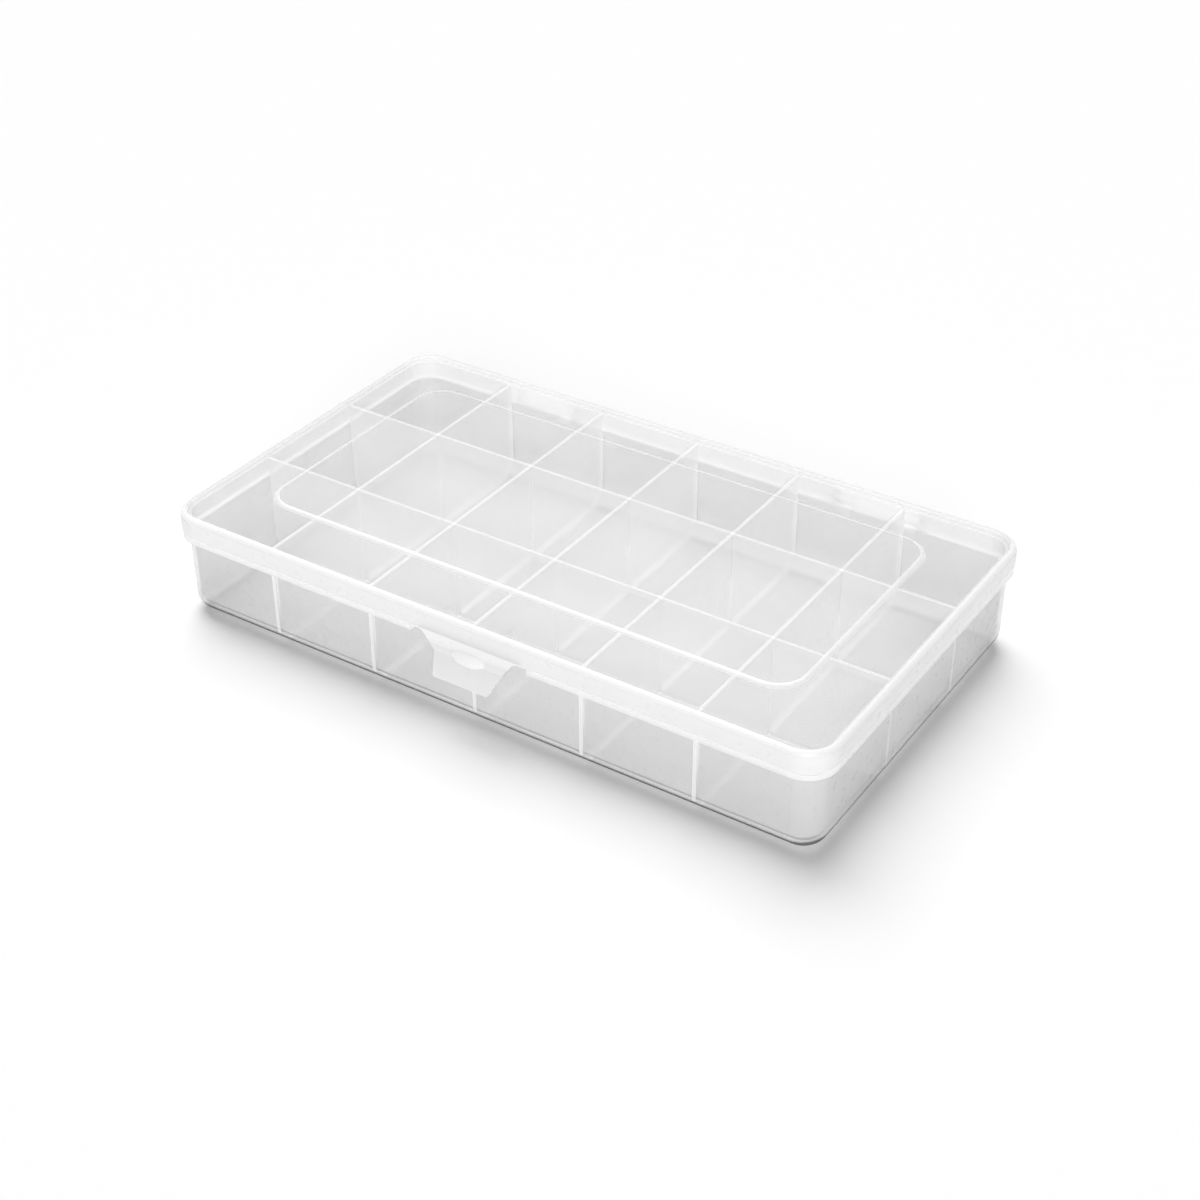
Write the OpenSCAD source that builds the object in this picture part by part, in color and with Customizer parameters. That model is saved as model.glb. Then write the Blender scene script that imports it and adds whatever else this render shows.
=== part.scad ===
// Flat storage box with eighteen compartments, a hinged lid and a front latch.
// The long side runs along X, the front with the latch faces -Y, and the hinge is at +Y.
// The origin is at the middle of the flat underside, and all sizes are in millimetres.

/* [Tray] */
// Outside length of the tray wall
tray_len = 226.8; // [200:0.2:260]
// Outside depth of the tray wall, front to back
tray_dep = 126.8; // [110:0.2:150]
// Height of the tray wall and of the dividers
tray_h = 35.2; // [30:0.2:45]
// Thickness of the tray wall
wall = 1.2; // [0.8:0.1:1.6]
// Thickness of the tray floor
floor_t = 1.5; // [1:0.1:2.5]
// Radius of the upright corners, outside
corner_r = 8; // [7:0.5:12]
// Radius between the wall and the underside, outside
foot_r = 6.5; // [4:0.5:6.5]

/* [Flange under the lid] */
// Height of the tray wall above the flange
lip_h = 5.6; // [4.5:0.1:8]
// Thickness of the flange
flange_t = 1.9; // [1.2:0.1:2.5]
// How far the flange edge stays back from the face of the lid
flange_back = 0.2; // [0:0.1:0.5]
// Width of the break in the flange behind the latch
latch_break = 41; // [38:0.5:50]
// Room in the flange beside each hinge ear
ear_break = 1; // [0.5:0.1:2]

/* [Dividers] */
// Thickness of a divider
divider_t = 1.2; // [0.8:0.1:2]
// Gap between the end of a divider and the tray wall
divider_gap = 0.1; // [0.05:0.05:0.3]
// Gap on each side of a divider in the slot of the one that it crosses
slot_gap = 0.05; // [0.05:0.05:0.2]

/* [Lid] */
// Gap between the lid skirt and the tray wall at the two ends
end_gap = 0.6; // [0.4:0.1:1.5]
// Gap between the lid skirt and the tray wall at the front and the back
face_gap = 1.1; // [0.9:0.1:1.6]
// Thickness of the lid skirt and of the latch
skirt_t = 1.4; // [1:0.1:1.8]
// Thickness of the lid plate
plate_t = 1.1; // [0.8:0.1:1.5]
// Gap between the tray wall and the underside of the lid
lid_gap = 0.7; // [0.6:0.1:1.2]
// Gap between the flange and the lower edge of the skirt
seat_gap = 0.2; // [0.1:0.1:0.5]
// Radius of the upright corners of the lid
lid_r = 10.5; // [8:0.5:14]
// Rounding of the upper edge of the lid
edge_r = 2.2; // [1.9:0.1:2.6]

/* [Raised middle of the lid] */
// Width of the flat margin around the raised middle
panel_margin = 20.7; // [14:0.1:26]
// Corner radius at the foot of the raised middle
panel_r = 10.5; // [6:0.5:14]
// How far the middle stands up
panel_rise = 0.8; // [0.4:0.1:1]
// Radius of its rounded edge
panel_edge_r = 2; // [1.2:0.1:3]

/* [Ribs under the lid] */
// Gap between the top of a divider and the lid rib above it
rib_gap = 0.3; // [0.2:0.05:0.5]
// Distance between the two lugs that steer the lid into the tray
lug_pitch = 22; // [16:0.5:30]
// Thickness of a lug
lug_t = 1.2; // [0.8:0.1:2]
// Reach of a lug into the tray
lug_reach = 4.4; // [2:0.1:6]
// Length of a lug, front to back
lug_len = 4; // [3:0.1:6]
// Gap between a lug and the inside of the tray wall
lug_gap = 0.3; // [0.2:0.1:0.6]

/* [Latch] */
// Width of the latch where it leaves the skirt
latch_w = 33; // [30:0.5:34]
// Width of the latch at the bend
bend_w = 24; // [20:0.5:28]
// Width of the latch at its lower end
end_w = 19.6; // [14:0.2:20]
// Height from the skirt to the bend
bend_drop = 5.8; // [5.4:0.1:7]
// Height from the bend to the lower end
end_drop = 5.9; // [4:0.1:8]
// How far the lower end stands out in front
flare = 4.3; // [2:0.1:5]
// Radius of the inner corners beside the latch
neck_r = 3; // [1:0.1:3.5]
// Radius of the lower corners of the latch
tip_r = 1; // [0.5:0.1:2]

/* [Catch] */
// Height of the catch below the lower edge of the skirt
catch_drop = 4.6; // [4:0.1:4.6]
// Length of the swelling on the face of the latch
swell_len = 12.6; // [10:0.1:14]
// Height of the swelling on the face of the latch
swell_h = 5; // [4:0.1:6]
// How far the swelling stands out
swell_rise = 1.05; // [0.7:0.05:1.4]
// Length of the pocket behind the swelling
pocket_len = 11; // [9:0.1:12]
// Height of the pocket behind the swelling
pocket_h = 4.2; // [3.6:0.1:5]
// Depth of the pocket
pocket_deep = 1.2; // [0.6:0.1:1.3]
// Length of the nub on the tray
nub_len = 9; // [6:0.1:10]
// Height of the nub on the tray
nub_h = 3.2; // [2.4:0.1:3.6]
// Gap between the nub and the inner face of the latch
nub_gap = 0.3; // [0.2:0.05:0.5]

/* [Hinge] */
// Distance from the end of the tray to the middle of each hinge
hinge_inset = 48.4; // [36:0.2:60]
// Width of each hinge over its two ears
hinge_w = 33.2; // [28:0.2:38]
// Thickness of a hinge ear
ear_t = 2; // [1.4:0.1:3]
// Width of a hook that holds the pin
hook_w = 6; // [4:0.1:8]
// Gap between an ear and the hook beside it
hook_gap = 0.3; // [0.2:0.05:0.6]
// Diameter of the hinge pin
pin_d = 2.4; // [1.8:0.1:2.6]
// Gap all around the pin in its hooks
pin_gap = 0.05; // [0.02:0.01:0.1]
// Outer radius of the ears and the hooks
knuckle_r = 2.3; // [2.1:0.1:2.8]
// Width of the slot that the pin snaps through
snap_w = 1.6; // [1:0.1:1.7]
// Distance of the pin behind the rear face of the lid
pin_back = 0.9; // [0.7:0.1:2]
// Height of the pin below the top of the flange
pin_drop = 1; // [0.6:0.1:1.6]
// Height of the opening in the rear skirt over the hooks
cutout_h = 3.7; // [3.4:0.1:5]

/* [Hidden] */
$fn = 96;

row_count = 2;
cross_count = 5;
sink = 0.4; // how deep an added feature is rooted in the wall that carries it
cut = 1;    // how far a cutter runs past the face that it opens

tray_in_len = tray_len - 2 * wall;
tray_in_dep = tray_dep - 2 * wall;
tray_in_r = corner_r - wall;
fillet_r = foot_r - wall;
flange_top = tray_h - lip_h;

row_pitch = (tray_in_dep + divider_t) / (row_count + 1);
cross_pitch = (tray_in_len + divider_t) / (cross_count + 1);
divider_h = tray_h - floor_t;
slot_w = divider_t + 2 * slot_gap;

lid_len = tray_len + 2 * (end_gap + skirt_t);
lid_dep = tray_dep + 2 * (face_gap + skirt_t);
skirt_z = flange_top + seat_gap;
plate_z = tray_h + lid_gap;
lid_top = plate_z + plate_t;
panel_len = lid_len - 2 * panel_margin;
panel_dep = lid_dep - 2 * panel_margin;

latch_y = -lid_dep / 2;
catch_z = skirt_z - catch_drop;
nub_rise = face_gap - nub_gap;

pin_y = lid_dep / 2 + pin_back;
pin_z = flange_top - pin_drop;
hinge_x = tray_len / 2 - hinge_inset;
pin_len = hinge_w - 2 * ear_t;

function row_y(i) = (i - (row_count + 1) / 2) * row_pitch;
function cross_x(i) = (i - (cross_count + 1) / 2) * cross_pitch;

// Upright section of a tub: a rectangle with its two lower corners rounded.
module tub_section(w, h, r) {
    translate([-w / 2, r]) square([w, h - r]);
    translate([-w / 2 + r, 0]) square([w - 2 * r, r]);
    for (side = [-1, 1]) translate([side * (w / 2 - r), r]) circle(r);
}

// Half of that section about an upright axis, for the corners.
module corner_section(big_r, h, r) {
    translate([0, r]) square([big_r, h - r]);
    square([big_r - r, r]);
    intersection() {
        translate([big_r - r, r]) circle(r);
        square([big_r, r]);
    }
}

// Places a quarter turn of its children at each corner of a rectangle.
module at_corners(len, dep, r) {
    for (i = [0 : 3]) {
        sx = (i == 0 || i == 3) ? 1 : -1;
        sy = i < 2 ? 1 : -1;
        translate([sx * (len / 2 - r), sy * (dep / 2 - r), 0]) rotate([0, 0, 90 * i])
            rotate_extrude(angle = 90) children();
    }
}

// Solid tub with upright corners of radius big_r and a lower edge of radius r.
module tub(len, dep, big_r, r, h) {
    rotate([90, 0, 90]) linear_extrude(len - 2 * big_r, center = true) tub_section(dep, h, r);
    rotate([90, 0, 0]) linear_extrude(dep - 2 * big_r, center = true) tub_section(len, h, r);
    at_corners(len, dep, big_r) corner_section(big_r, h, r);
}

// Section of the raised middle: square foot, rounded upper edges.
module panel_section(w, h, r) {
    run = sqrt(r * r - (r - h) * (r - h));
    translate([-w / 2 + run, 0]) square([w - 2 * run, h]);
    intersection() {
        for (side = [-1, 1]) translate([side * (w / 2 - run), h - r]) circle(r);
        translate([-w / 2, 0]) square([w, h]);
    }
}

module panel_corner_section(big_r, h, r) {
    intersection() {
        panel_section(2 * big_r, h, r);
        square([big_r, h]);
    }
}

// Low plateau with rounded edges.
module plateau(len, dep, big_r, h, r) {
    rotate([90, 0, 90]) linear_extrude(len - 2 * big_r, center = true) panel_section(dep, h, r);
    rotate([90, 0, 0]) linear_extrude(dep - 2 * big_r, center = true) panel_section(len, h, r);
    at_corners(len, dep, big_r) panel_corner_section(big_r, h, r);
}

module rounded_rect(len, dep, r) {
    square([len - 2 * r, dep], center = true);
    square([len, dep - 2 * r], center = true);
    for (sx = [-1, 1], sy = [-1, 1]) translate([sx * (len / 2 - r), sy * (dep / 2 - r)]) circle(r);
}

// Smooth swelling on a face at z = 0: an arc turned about a line below the face.
module swelling(len, h, rise, root) {
    turn_r = (h * h / (4 * rise) + rise) / 2;
    arc_r = (len * len / 4 + rise * rise) / (2 * rise);
    half = sqrt(arc_r * arc_r - (arc_r - turn_r) * (arc_r - turn_r));
    intersection() {
        translate([0, 0, rise - turn_r]) rotate([0, 90, 0]) rotate_extrude() intersection() {
            translate([turn_r - arc_r, 0]) circle(arc_r);
            translate([0, -half]) square([turn_r, 2 * half]);
        }
        translate([-len, -h, -root]) cube([2 * len, 2 * h, root + rise + cut]);
    }
}

// Upright plate across X with its middle at x, drawn as a section in Y and Z.
module slice_x(x, t) {
    translate([x, 0, 0]) rotate([90, 0, 90]) linear_extrude(t, center = true) children();
}

// ---- tray ----

module flange() {
    translate([0, 0, flange_top - flange_t]) linear_extrude(flange_t) difference() {
        rounded_rect(lid_len - 2 * flange_back, lid_dep - 2 * flange_back, lid_r - flange_back);
        rounded_rect(tray_len - 2 * sink, tray_dep - 2 * sink, corner_r - sink);
        translate([-latch_break / 2, -lid_dep / 2 - cut]) square([latch_break, lid_dep / 2 - tray_dep / 2 + cut]);
        for (side = [-1, 1])
            translate([side * hinge_x - hinge_w / 2 - ear_break, tray_dep / 2])
                square([hinge_w + 2 * ear_break, lid_dep / 2]);
    }
}

// Hook on the rear wall, open at the top so that the pin snaps in.
module hook(x) {
    reach = pin_y - tray_dep / 2 + sink;
    slice_x(x, hook_w) difference() {
        union() {
            translate([pin_y, pin_z]) circle(knuckle_r);
            translate([pin_y - reach, pin_z - knuckle_r]) square([reach, 2 * knuckle_r]);
        }
        translate([pin_y, pin_z]) circle(pin_d / 2 + pin_gap);
        translate([pin_y - snap_w / 2, pin_z]) square([snap_w, knuckle_r + cut]);
    }
}

module tray() {
    hook_offset = pin_len / 2 - hook_gap - hook_w / 2;
    color([0.86, 0.88, 0.90]) union() {
        difference() {
            tub(tray_len, tray_dep, corner_r, foot_r, tray_h);
            translate([0, 0, floor_t]) tub(tray_in_len, tray_in_dep, tray_in_r, fillet_r, tray_h);
        }
        flange();
        for (side = [-1, 1], end = [-1, 1]) hook(side * hinge_x + end * hook_offset);
        translate([0, -tray_dep / 2, catch_z]) rotate([90, 0, 0]) swelling(nub_len, nub_h, nub_rise, sink);
    }
}

// ---- dividers ----

// Divider outline that follows the fillets of the tray, standing on the floor.
module divider_section(span) {
    translate([0, floor_t]) tub_section(span - 2 * divider_gap, divider_h, fillet_r);
}

// Long divider, slotted from above.
module row_divider(i) {
    color([0.80, 0.83, 0.86]) translate([0, row_y(i), 0]) rotate([90, 0, 0])
        linear_extrude(divider_t, center = true) difference() {
            divider_section(tray_in_len);
            for (k = [1 : cross_count]) translate([cross_x(k) - slot_w / 2, floor_t + divider_h / 2])
                square([slot_w, divider_h]);
        }
}

// Short divider, slotted from below.
module cross_divider(i) {
    color([0.74, 0.78, 0.82]) slice_x(cross_x(i), divider_t) difference() {
        divider_section(tray_in_dep);
        for (k = [1 : row_count]) translate([row_y(k) - slot_w / 2, 0])
            square([slot_w, floor_t + divider_h / 2]);
    }
}

// ---- lid ----

module lid_shell() {
    inner_len = lid_len - 2 * skirt_t;
    inner_dep = lid_dep - 2 * skirt_t;
    difference() {
        union() {
            translate([0, 0, lid_top]) mirror([0, 0, 1])
                tub(lid_len, lid_dep, lid_r, edge_r, lid_top - skirt_z);
            translate([0, 0, lid_top]) plateau(panel_len, panel_dep, panel_r, panel_rise, panel_edge_r);
        }
        translate([0, 0, plate_z]) mirror([0, 0, 1])
            tub(inner_len, inner_dep, lid_r - skirt_t, edge_r - skirt_t, tray_h);
        translate([0, 0, plate_z])
            plateau(panel_len - plate_t, panel_dep - plate_t, panel_r - plate_t / 2, panel_rise, panel_edge_r);
    }
}

// Shallow ribs in the margin, one over each end of each divider.
module margin_ribs() {
    rib_z = tray_h + rib_gap;
    rib_h = plate_z - rib_z + sink;
    rib_x = lid_len / 2 - panel_margin - sink;
    rib_y = lid_dep / 2 - panel_margin - sink;
    for (k = [1 : cross_count], side = [-1, 1])
        translate([cross_x(k) - divider_t / 2, side > 0 ? rib_y : -lid_dep / 2 + skirt_t - sink, rib_z])
            cube([divider_t, lid_dep / 2 - skirt_t - rib_y + sink, rib_h]);
    for (k = [1 : row_count], side = [-1, 1])
        translate([side > 0 ? rib_x : -lid_len / 2 + skirt_t - sink, row_y(k) - divider_t / 2, rib_z])
            cube([lid_len / 2 - skirt_t - rib_x + sink, divider_t, rib_h]);
}

// Two lugs that steer the front of the lid into the tray.
module lugs() {
    for (side = [-1, 1])
        translate([side * lug_pitch / 2 - lug_t / 2, -tray_in_dep / 2 + lug_gap, tray_h - lug_reach])
            cube([lug_t, lug_len, plate_z - tray_h + lug_reach + sink]);
}

// Ear that carries one end of a hinge pin, braced to the skirt at 45 degrees.
module ear(x) {
    face = lid_dep / 2;
    brace_z = pin_z + knuckle_r * sqrt(2) + pin_back;
    slice_x(x, ear_t) {
        translate([pin_y, pin_z]) circle(knuckle_r);
        polygon([
            [face - skirt_t, pin_z],
            [face - skirt_t, brace_z + sink],
            [face - sink, brace_z + sink],
            [pin_y + knuckle_r / sqrt(2), pin_z + knuckle_r / sqrt(2)],
            [pin_y, pin_z]
        ]);
    }
}

module lid() {
    ear_offset = (hinge_w - ear_t) / 2;
    color([0.90, 0.92, 0.94]) union() {
        difference() {
            lid_shell();
            for (side = [-1, 1])
                translate([side * hinge_x - pin_len / 2, lid_dep / 2 - skirt_t - cut, skirt_z - cut])
                    cube([pin_len, skirt_t + 2 * cut, cutout_h + cut]);
        }
        margin_ribs();
        lugs();
        for (side = [-1, 1], end = [-1, 1]) ear(side * hinge_x + end * ear_offset);
    }
}

// ---- latch ----

// Front outline of the latch, with the lower edge of the skirt at y = 0.
module latch_outline() {
    end_z = -bend_drop - end_drop;
    side_angle = atan2(bend_drop, (latch_w - bend_w) / 2);
    neck_run = neck_r * tan(side_angle / 2);
    tip_angle = atan2(end_drop, (bend_w - end_w) / 2);
    tip_run = tip_r * tan(tip_angle / 2);
    difference() {
        union() {
            polygon([
                [-latch_w / 2, 0],
                [latch_w / 2, 0],
                [bend_w / 2, -bend_drop],
                [end_w / 2 + tip_run * cos(tip_angle), end_z + tip_run * sin(tip_angle)],
                [end_w / 2 - tip_run, end_z],
                [-end_w / 2 + tip_run, end_z],
                [-end_w / 2 - tip_run * cos(tip_angle), end_z + tip_run * sin(tip_angle)],
                [-bend_w / 2, -bend_drop]
            ]);
            for (side = [-1, 1]) {
                translate([side * (end_w / 2 - tip_run), end_z + tip_r]) circle(tip_r);
                polygon([
                    [side * latch_w / 2, 0],
                    [side * (latch_w / 2 + neck_run), 0],
                    [side * (latch_w / 2 + neck_run), -neck_r],
                    [side * (latch_w / 2 - neck_run * cos(side_angle)), -neck_run * sin(side_angle)]
                ]);
            }
        }
        for (side = [-1, 1]) translate([side * (latch_w / 2 + neck_run), -neck_r]) circle(neck_r);
    }
}

// Side outline of the latch: a strip that bends outward, with its face at y = 0.
module latch_side() {
    bend = atan2(flare, end_drop);
    end_z = -bend_drop - end_drop;
    polygon([
        [0, 0],
        [0, -bend_drop],
        [-flare, end_z],
        [-flare + skirt_t / cos(bend), end_z],
        [skirt_t, -bend_drop - skirt_t * tan(bend / 2)],
        [skirt_t, 0]
    ]);
}

module latch() {
    color([0.88, 0.90, 0.93]) difference() {
        union() {
            translate([0, latch_y, skirt_z]) intersection() {
                slice_x(0, 2 * latch_w) latch_side();
                translate([0, skirt_t + cut, 0]) rotate([90, 0, 0]) linear_extrude(flare + skirt_t + 2 * cut)
                    latch_outline();
            }
            translate([0, latch_y, catch_z]) rotate([90, 0, 0]) swelling(swell_len, swell_h, swell_rise, sink);
        }
        translate([0, latch_y + skirt_t, catch_z]) rotate([90, 0, 0])
            swelling(pocket_len, pocket_h, pocket_deep, cut);
    }
}

// ---- hinge pins ----

module hinge_pin(side) {
    color([0.78, 0.80, 0.83]) translate([side * hinge_x, pin_y, pin_z]) rotate([0, 90, 0])
        cylinder(d = pin_d, h = pin_len, center = true);
}

tray();
for (i = [1 : row_count])
    row_divider(i);
for (i = [1 : cross_count])
    cross_divider(i);
lid();
latch();
hinge_pin(-1);  // hinge_pin_left
hinge_pin(1);  // hinge_pin_right
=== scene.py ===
"""Looks of a flat storage box in clear, slightly milky plastic: materials, floor, light and camera.

All form is in the CAD nodes. The masks below whiten the plastic at places where there is more of
it to look through, such as edges and moulded joints. They also paint shade: a painted contact
shadow along the underside of the rounded foot, and a greyer tray floor and greyer inner walls
as painted shade, with painted light on the inner walls near the foot.
"""

import math

import bpy
from mathutils import Matrix, Vector


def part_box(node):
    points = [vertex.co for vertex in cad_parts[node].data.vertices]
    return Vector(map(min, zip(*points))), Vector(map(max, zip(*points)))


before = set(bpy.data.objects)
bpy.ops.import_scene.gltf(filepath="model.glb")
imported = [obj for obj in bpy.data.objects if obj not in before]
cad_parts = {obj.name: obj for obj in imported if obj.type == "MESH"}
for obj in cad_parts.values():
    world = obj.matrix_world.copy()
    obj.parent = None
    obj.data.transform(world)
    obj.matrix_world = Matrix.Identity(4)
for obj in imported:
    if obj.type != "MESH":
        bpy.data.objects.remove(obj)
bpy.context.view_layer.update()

MM = 0.001
tray_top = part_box("tray")[1].z


# ---------------------------------------------------------------- node helpers

class Graph:
    """Adds nodes to an emptied node tree. Inputs are sockets or plain values."""

    def __init__(self, tree):
        self.tree = tree
        tree.nodes.clear()

    def node(self, kind, inputs, **settings):
        made = self.tree.nodes.new(kind)
        for key, value in settings.items():
            setattr(made, key, value)
        for key, value in inputs.items():
            if isinstance(value, bpy.types.NodeSocket):
                self.tree.links.new(value, made.inputs[key])
            else:
                made.inputs[key].default_value = value
        return made

    def math(self, operation, a, b=0.0, clamp=False):
        made = self.node("ShaderNodeMath", {0: a, 1: b}, operation=operation, use_clamp=clamp)
        return made.outputs[0]

    def ramp(self, value, start, end, low=0.0, high=1.0):
        """Smooth step from low at start to high at end."""
        inputs = {"Value": value, "From Min": start, "From Max": end, "To Min": low, "To Max": high}
        return self.node("ShaderNodeMapRange", inputs, interpolation_type="SMOOTHSTEP").outputs[0]

    def ramp_mm(self, value, start, end, low=0.0, high=1.0):
        """The same, with start and end in millimetres."""
        return self.ramp(value, start * MM, end * MM, low, high)

    def either(self, *masks):
        result = masks[0]
        for mask in masks[1:]:
            result = self.math("MAXIMUM", result, mask)
        return result

    def both(self, *masks):
        result = masks[0]
        for mask in masks[1:]:
            result = self.math("MULTIPLY", result, mask)
        return result

    def blend(self, factor, a, b):
        """a where factor is 0 and b where it is 1."""
        return self.node("ShaderNodeMix", {"Factor": factor, "A": a, "B": b}).outputs[0]

    def noise(self, vector, scale, detail):
        inputs = {"Vector": vector, "Scale": scale, "Detail": detail, "Roughness": 0.5}
        return self.node("ShaderNodeTexNoise", inputs).outputs[0]

    def place(self):
        """Coordinates, place on the piece and face direction, all in the piece's own frame."""
        coords = self.node("ShaderNodeTexCoord", {}).outputs
        place = self.node("ShaderNodeSeparateXYZ", {0: coords["Object"]}).outputs
        facing = self.node("ShaderNodeSeparateXYZ", {0: coords["Normal"]}).outputs
        return coords["Object"], place, facing


def new_material(name):
    material = bpy.data.materials.new(name)
    material.use_nodes = True
    return material, Graph(material.node_tree)


# ---------------------------------------------------------------- plastic

THICK_TONE = 0.98                  # white of the places seen through more material
CLOUD_SCALE, CLOUD = 28.0, 0.1     # size of the clouds in the haze, and their strength
FLOW_SCALE = 14.0                  # size of the faint waves of the mould flow
GRAIN_SCALE = 420.0                # size of the grain in the gloss
LEAST_ROUGH, MOST_ROUGH = 0.27, 0.33
GLOSS, IOR = 0.5, 1.49
PAINTED_SHADOW_TONE, PAINTED_SHADOW_COVER = 0.12, 0.85 # of the painted contact shadow along the rounded foot


def clear_plastic(name, tone, haze, thick, shade, painted_shadow=None):
    """Clear plastic with a milky haze. Each of these is a number or a function (g, place, facing).

    haze is the share of what lies behind it that a face hides, and tone its shade of white. thick
    is the same as haze for the places seen through more material, which are whiter. That share
    times shade, and never more than all, is the lamp light that a face keeps from what is behind.
    painted_shadow marks where a painted contact shadow darkens the colour, raises the cover and
    takes the gloss.
    """
    material, g = new_material(name)
    coords, place, facing = g.place()

    def worked_out(value):
        return value(g, place, facing) if callable(value) else value

    tone, haze, thick, shade = (worked_out(value) for value in (tone, haze, thick, shade))
    cloud = g.noise(coords, CLOUD_SCALE, detail=3.0)
    cover = g.either(g.both(haze, g.ramp(cloud, 0.25, 0.75, 1 - CLOUD, 1 + CLOUD)), thick)
    lamp_cover = g.math("MULTIPLY", cover, shade, clamp=True)
    whiter = g.ramp(g.math("SUBTRACT", thick, haze), 0.0, 0.2)
    white = g.blend(whiter, tone, THICK_TONE)
    gloss = GLOSS
    # Painted contact shadow: darker colour, more cover and no gloss where the mask is.
    if painted_shadow:
        line = worked_out(painted_shadow)
        white = g.blend(line, white, PAINTED_SHADOW_TONE)
        cover = g.either(cover, g.both(line, PAINTED_SHADOW_COVER))
        gloss = g.blend(line, GLOSS, 0.0)
    lamp_ray = g.node("ShaderNodeLightPath", {}).outputs["Is Shadow Ray"]
    flow = g.noise(coords, FLOW_SCALE, detail=1.0)
    bump = g.node("ShaderNodeBump", {"Strength": 0.04, "Distance": 0.002, "Height": flow})
    grain = g.noise(coords, GRAIN_SCALE, detail=2.0)
    colour = g.node("ShaderNodeCombineColor", {"Red": white, "Green": white, "Blue": white})
    shader = g.node("ShaderNodeBsdfPrincipled", {
        "Base Color": colour.outputs[0],
        "Roughness": g.ramp(grain, 0.3, 0.7, LEAST_ROUGH, MOST_ROUGH),
        "IOR": IOR,
        "Specular IOR Level": gloss,
        "Alpha": g.blend(lamp_ray, cover, lamp_cover),
        "Normal": bump.outputs[0]})
    g.node("ShaderNodeOutputMaterial", {0: shader.outputs[0]})
    return material


# ---------------------------------------------------------------- places on the box, in mm

# Half width, half depth and corner radius, seen from above.
TRAY_OUTLINE = (113.4, 63.4, 8.0)      # outside of the tray's walls
LID_OUTLINE = (115.4, 65.9, 10.5)      # outside of the lid's skirt
RAISED_OUTLINE = (94.7, 45.2, 10.5)    # foot of the lid's raised middle

CROSS_PITCH = 37.6                     # from one short divider to the next
ROW_AT = 20.933                        # from the middle to a long divider

# Pairs: a mask changes between the first and the second.
CROSS_LAST = (98.0, 100.0)             # no short divider stands further out than this
JOINT = (0.55, 0.85)                   # half width of the line of a moulded joint
JOINT_TOP = (27.5, 27.7)               # those lines end there
FOOT_TOP = (7.0, 8.0)                  # above the rounded foot
TRAY_FLOOR = (2.0, 3.0)                # above the tray's floor
WALL_TOP = (28.5, 29.5)                # the flange begins there
TRAY_FADE = (10.0, 29.0)               # the rest of the tray gets whiter over this height: painted shade greys the floor
PAINTED_WALL_LIGHT = (2.0, 14.0)               # painted light: the walls' inner faces are lighter near the foot
WALL_SHADE = (2.0, 22.0)               # the walls keep back more light near the foot
INNER_FACE = (-0.8, -0.4)              # from the tray's outline
FLANGE = (0.05, 0.15)                  # from the tray's outline
SKIRT = (-3.0, -2.5)                   # from the lid's outline
SKIRT_EDGE = (29.9, 30.5)              # the skirt's lower edge
PLATE_LOW = (34.5, 36.0)               # between the skirt and the plate
PLATE_TOP = (36.8, 36.9)               # only the raised middle is higher
LATCH_BODY = (21.0, 29.0)              # the latch gets whiter over this height

# Half width, half height and the height of the middle of the latch's swelling.
SWELLING = (6.3, 2.5, 25.2)


def from_outline(g, place, outline):
    """Distance outside (+) or inside (-) a rounded rectangle around the origin, seen from above."""
    half_x, half_y, radius = (size * MM for size in outline)
    past_x = g.math("SUBTRACT", g.math("ABSOLUTE", place["X"]), half_x - radius)
    past_y = g.math("SUBTRACT", g.math("ABSOLUTE", place["Y"]), half_y - radius)
    out_x = g.math("MAXIMUM", past_x, 0.0)
    out_y = g.math("MAXIMUM", past_y, 0.0)
    corner = g.math("SQRT", g.math("ADD", g.both(out_x, out_x), g.both(out_y, out_y)))
    side = g.math("MINIMUM", g.either(past_x, past_y), 0.0)
    return g.math("SUBTRACT", g.math("ADD", corner, side), radius)


def between(g, value, low, high, soft):
    """1 between low and high, with edges softened over soft."""
    return g.both(g.ramp(value, low - soft, low), g.ramp(value, high, high + soft, 1.0, 0.0))


def along(g, facing, axis):
    """The faces that look along an axis, one way or the other."""
    return g.ramp(g.math("ABSOLUTE", facing[axis]), 0.7, 0.9)


def at_cross(g, place):
    """Where a short divider stands: on its line from front to back."""
    off = g.math("PINGPONG", place["X"], CROSS_PITCH * MM / 2)
    inside = g.ramp_mm(g.math("ABSOLUTE", place["X"]), *CROSS_LAST, 1.0, 0.0)
    return g.both(g.ramp_mm(off, *JOINT, 1.0, 0.0), inside)


def at_row(g, place):
    """Where a long divider stands: on its line from left to right."""
    off = g.math("SUBTRACT", g.math("ABSOLUTE", place["Y"]), ROW_AT * MM)
    return g.ramp_mm(g.math("ABSOLUTE", off), *JOINT, 1.0, 0.0)


# ---------------------------------------------------------------- masks of each piece

def divider_thick(axis, crossing):
    """A divider's narrow faces and the lines where it crosses. Its thickness runs along axis."""
    top_cover, side_cover, crossing_cover = 0.42, 0.9, 0.6

    def mask(g, place, facing):
        across = g.math("ABSOLUTE", facing[axis])
        edge_cover = g.ramp(place["Z"], tray_top - 0.4 * MM, tray_top - 0.1 * MM,
                            side_cover, top_cover)
        edges = g.both(g.ramp(across, 0.3, 0.7, 1.0, 0.0), edge_cover)
        return g.either(edges, g.both(crossing(g, place), crossing_cover))
    return mask


def tray_wall(g, place, facing):
    """The walls, down to the rounded foot, without the flange."""
    upright = g.ramp(g.math("ABSOLUTE", facing["Z"]), 0.5, 0.95, 1.0, 0.0)
    return g.both(upright, g.ramp_mm(place["Z"], *WALL_TOP, 1.0, 0.0))


def inner(g, place):
    """The inner faces of the walls."""
    return g.ramp_mm(from_outline(g, place, TRAY_OUTLINE), *INNER_FACE, 1.0, 0.0)


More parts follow.
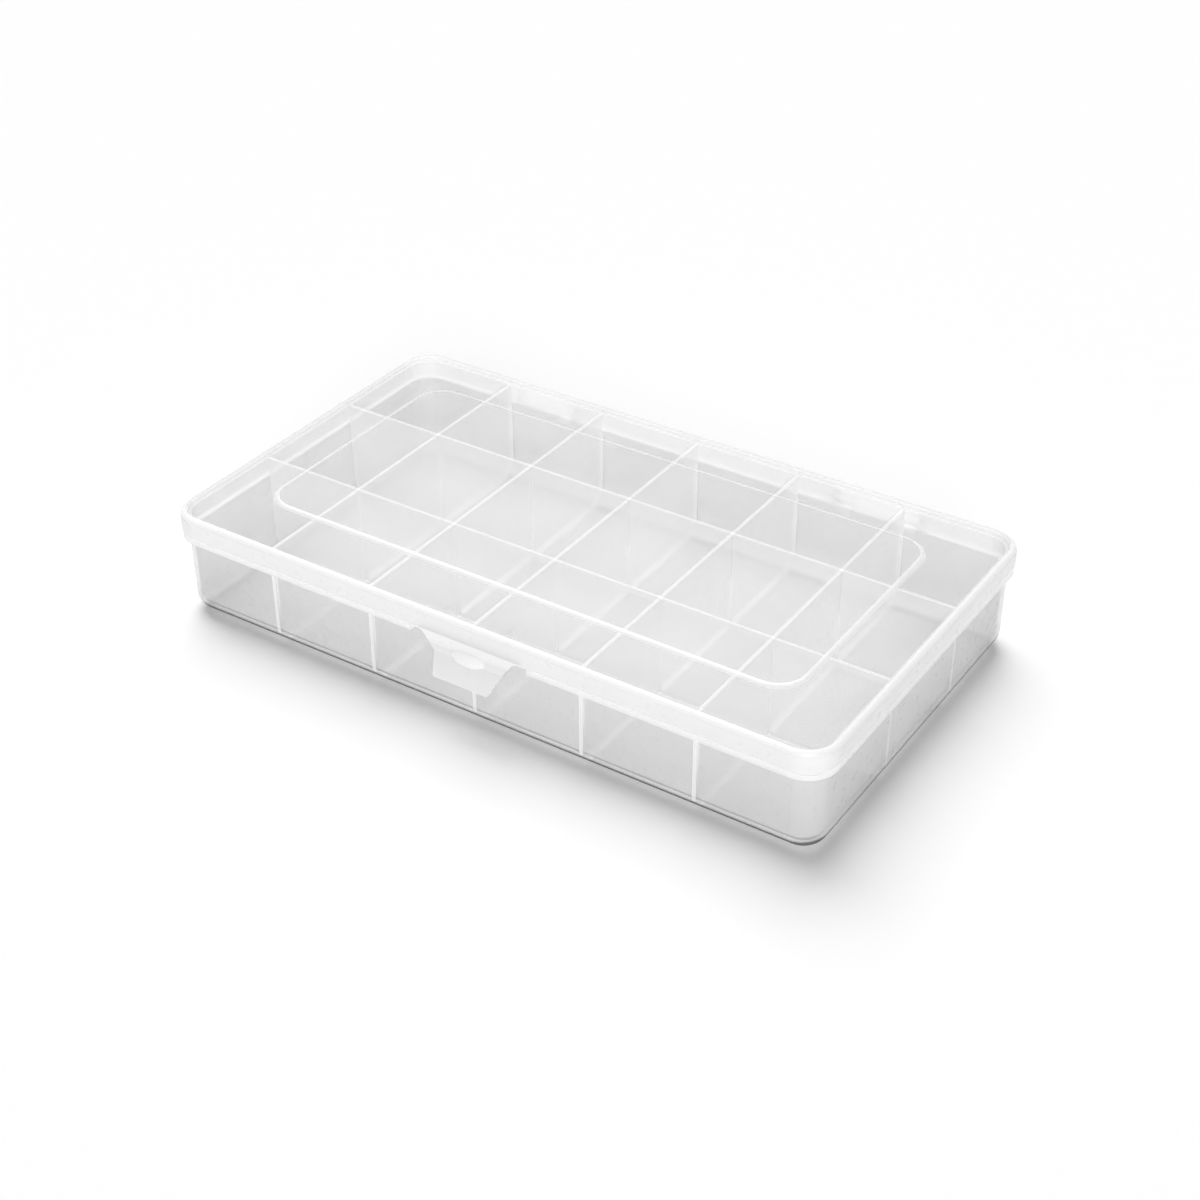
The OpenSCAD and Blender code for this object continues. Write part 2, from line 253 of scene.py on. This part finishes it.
def tray_haze(g, place, facing):
    """The walls' inner faces hide a little more than their outer ones."""
    rest = g.ramp_mm(place["Z"], *TRAY_FADE, 0.2, 0.3)
    wall = g.blend(inner(g, place), 0.42, 0.5)
    return g.blend(tray_wall(g, place, facing), rest, wall)


def tray_tone_with_painted_shade(g, place, facing):
    """Painted shade: the walls' inner faces are greyer than their outer ones, the floor greyer too.
    """
    # painted shade: greyer low down, over the tray's floor
    rest = g.ramp_mm(place["Z"], *TRAY_FADE, 0.77, 0.98)
    # painted shade on the walls' inner faces, lighter near the foot as painted light
    inside = g.ramp_mm(place["Z"], *PAINTED_WALL_LIGHT, 0.8, 0.56)
    wall = g.blend(inner(g, place), 0.95, inside)
    return g.blend(tray_wall(g, place, facing), rest, wall)


def tray_thick(g, place, facing):
    """The flange, and the lines where the dividers meet the walls and the floor."""
    flange = g.both(g.ramp_mm(from_outline(g, place, TRAY_OUTLINE), *FLANGE), 0.55)
    on_front = g.both(at_cross(g, place), along(g, facing, "Y"))
    on_end = g.both(at_row(g, place), along(g, facing, "X"), 0.7)
    on_wall = g.both(g.either(on_front, on_end), 0.85)
    on_floor = g.both(g.either(at_cross(g, place), at_row(g, place)),
                      g.ramp(facing["Z"], 0.7, 0.9), 0.9)
    low = g.ramp_mm(place["Z"], *JOINT_TOP, 1.0, 0.0)
    return g.either(flange, g.both(g.either(on_wall, on_floor), low))


def painted_foot_shadow(g, place, facing):
    """The underside of the rounded foot, painted darker as a painted contact shadow under the box.

    It starts higher up at the two ends, where the photograph's view shows less of the foot.
    """
    down = g.math("SUBTRACT", facing["Z"], g.both(g.math("ABSOLUTE", facing["X"]), 0.2))
    turned = g.both(g.ramp(facing["Z"], -0.98, -0.93), g.ramp(down, -0.5, -0.26, 1.0, 0.0))
    return g.both(turned, g.ramp_mm(place["Z"], *FOOT_TOP, 1.0, 0.0))


def tray_shade(g, place, facing):
    """Lamp light is lost mostly in the floor and the rounded foot, and little near the rim."""
    rest = g.ramp_mm(place["Z"], *TRAY_FLOOR, 1.9, 0.4)
    wall = g.both(g.ramp_mm(place["Z"], *WALL_SHADE, 2.5, 0.85),
                  g.blend(inner(g, place), 1.0, 0.72))
    return g.blend(tray_wall(g, place, facing), rest, wall)


def lid_thick(g, place, facing):
    """The skirt with its bright rounded edge and lower edge, and the step of the raised middle."""
    skirt = g.ramp_mm(from_outline(g, place, LID_OUTLINE), *SKIRT)
    side = g.both(g.ramp(facing["Z"], 0.2, 0.9, 1.0, 0.0), skirt)
    face = g.both(side, g.ramp_mm(place["Z"], *SKIRT_EDGE, 1.0, 0.7))
    edge = g.both(between(g, facing["Z"], 0.35, 0.97, 0.02), skirt)
    step = between(g, from_outline(g, place, RAISED_OUTLINE), -1.6 * MM, 0.0, 0.2 * MM)
    slope = g.both(step, g.ramp_mm(place["Z"], *PLATE_TOP))
    return g.either(face, g.both(edge, 0.9), g.both(slope, 0.65))


LEAST_SHADE = 0.3                  # of the lid's plate and the short dividers


def lid_shade(g, place, facing):
    """The skirt keeps back more lamp light than the plate."""
    return g.ramp_mm(place["Z"], *PLATE_LOW, 0.7, LEAST_SHADE)


def latch_thick(g, place, facing):
    """The latch's upper part, its rim and its swelling."""
    above = g.ramp_mm(place["Z"], *LATCH_BODY, 0.0, 0.95)
    half_width, half_height, middle = (size * MM for size in SWELLING)
    across = g.math("DIVIDE", place["X"], half_width)
    height = g.math("DIVIDE", g.math("SUBTRACT", place["Z"], middle), half_height)
    from_middle = g.math("ADD", g.both(across, across), g.both(height, height))
    swelling = g.ramp(from_middle, 0.8, 1.1, 0.97, 0.0)
    rim = g.ramp(g.math("ABSOLUTE", facing["Y"]), 0.5, 0.8, 0.9, 0.0)
    return g.either(above, swelling, rim)


def pin_thick(g, place, facing):
    """A pin's ends are whiter than its round face."""
    return g.ramp(g.math("ABSOLUTE", facing["X"]), 0.6, 0.9, 0.35, 0.8)


# ---------------------------------------------------------------- a plastic for each piece

# The first part of the names of the nodes that wear it, and the plastic.
PLASTICS = {
    # The tray wears painted shade: a painted contact shadow along its foot, greyer inner walls and
    # floor.
    "tray": clear_plastic(
        "tray_plastic", tone=tray_tone_with_painted_shade, haze=tray_haze, thick=tray_thick, shade=tray_shade,
        painted_shadow=painted_foot_shadow),
    "lid": clear_plastic(
        "lid_plastic", tone=0.97, haze=0.14, thick=lid_thick, shade=lid_shade),
    "latch": clear_plastic(
        "latch_plastic", tone=0.98, haze=0.68, thick=latch_thick, shade=0.7),
    "hinge_pin": clear_plastic(
        "pin_plastic", tone=0.95, haze=0.3, thick=pin_thick, shade=0.5),
    "row_divider": clear_plastic(
        "row_divider_plastic", tone=0.98, haze=0.32, thick=divider_thick("Y", at_cross), shade=0.7),
    "cross_divider": clear_plastic(
        "cross_divider_plastic", tone=0.98, haze=0.32, thick=divider_thick("X", at_row),
        shade=LEAST_SHADE),
}

for name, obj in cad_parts.items():
    for start, plastic in PLASTICS.items():
        if name.startswith(start):
            for slot in range(len(obj.data.materials)):
                obj.data.materials[slot] = plastic


# ---------------------------------------------------------------- floor

def floor():
    """A wide sheet of white paper just under the box."""
    half, drop = 4.0, 0.1 * MM
    corners = [(x * half, y * half, -drop) for x, y in ((-1, -1), (1, -1), (1, 1), (-1, 1))]
    mesh = bpy.data.meshes.new("floor")
    mesh.from_pydata(corners, [], [(0, 1, 2, 3)])
    obj = bpy.data.objects.new("floor", mesh)
    bpy.context.scene.collection.objects.link(obj)
    paper, g = new_material("floor_paper")
    shader = g.node("ShaderNodeBsdfDiffuse", {"Color": (0.97, 0.97, 0.97, 1.0)})
    g.node("ShaderNodeOutputMaterial", {0: shader.outputs[0]})
    mesh.materials.append(paper)


floor()


# ---------------------------------------------------------------- light

def sky(strength):
    """Even, weak light from all round. It is seen, also in reflections, as a white background."""
    world = bpy.data.worlds.new("studio")
    bpy.context.scene.world = world
    world.use_nodes = True
    g = Graph(world.node_tree)
    light = g.node("ShaderNodeBackground", {"Color": (strength, strength, strength, 1.0)})
    white = g.node("ShaderNodeBackground", {"Color": (1.0, 1.0, 1.0, 1.0)})
    path = g.node("ShaderNodeLightPath", {}).outputs
    seen = g.either(path["Is Camera Ray"], path["Is Glossy Ray"], path["Is Transmission Ray"])
    mix = g.node("ShaderNodeMixShader", {0: seen, 1: light.outputs[0], 2: white.outputs[0]})
    g.node("ShaderNodeOutputWorld", {0: mix.outputs[0]})


def towards(azimuth, elevation):
    """The direction at these angles in radians. Azimuth runs from the front (-Y) towards +X."""
    return Vector((math.sin(azimuth) * math.cos(elevation),
                   -math.cos(azimuth) * math.cos(elevation),
                   math.sin(elevation)))


def sun(name, azimuth, elevation, spread, strength):
    """Soft light from far away, with its angles in degrees."""
    lamp = bpy.data.lights.new(name, "SUN")
    lamp.energy = strength
    lamp.angle = math.radians(spread)
    obj = bpy.data.objects.new(name, lamp)
    source = towards(math.radians(azimuth), math.radians(elevation))
    obj.matrix_world = source.to_track_quat("Z", "Y").to_matrix().to_4x4()
    bpy.context.scene.collection.objects.link(obj)


sky(strength=0.18)
sun("key_back_left", azimuth=-134.0, elevation=56.0, spread=45.0, strength=2.2)
sun("key_front", azimuth=34.0, elevation=31.0, spread=30.0, strength=1.6)


# ---------------------------------------------------------------- camera

def camera():
    """The photograph's view: place, aim and lens from its perspective, on a square frame."""
    azimuth, elevation, roll = math.radians(33.286), math.radians(34.029), math.radians(-0.175)
    target, distance = Vector((23.5, -31.8, 35.25)) * MM, 609.7 * MM
    focal_length, frame_width = 2087.17, 1200    # in pixels of the photograph
    cam = bpy.data.cameras.new("camera")
    cam.sensor_width = 36.0
    cam.lens = focal_length / frame_width * cam.sensor_width
    cam.clip_start, cam.clip_end = 0.01, 20.0
    place = Matrix.Translation(target + towards(azimuth, elevation) * distance)
    turn = Matrix.Rotation(azimuth, 4, "Z") @ Matrix.Rotation(math.pi / 2 - elevation, 4, "X")
    obj = bpy.data.objects.new("camera", cam)
    obj.matrix_world = place @ turn @ Matrix.Rotation(roll, 4, "Z")
    bpy.context.scene.collection.objects.link(obj)
    bpy.context.scene.camera = obj


camera()
bpy.context.scene.view_settings.view_transform = "Standard"
bpy.context.scene.cycles.transparent_max_bounces = 48    # many thin faces lie behind one another
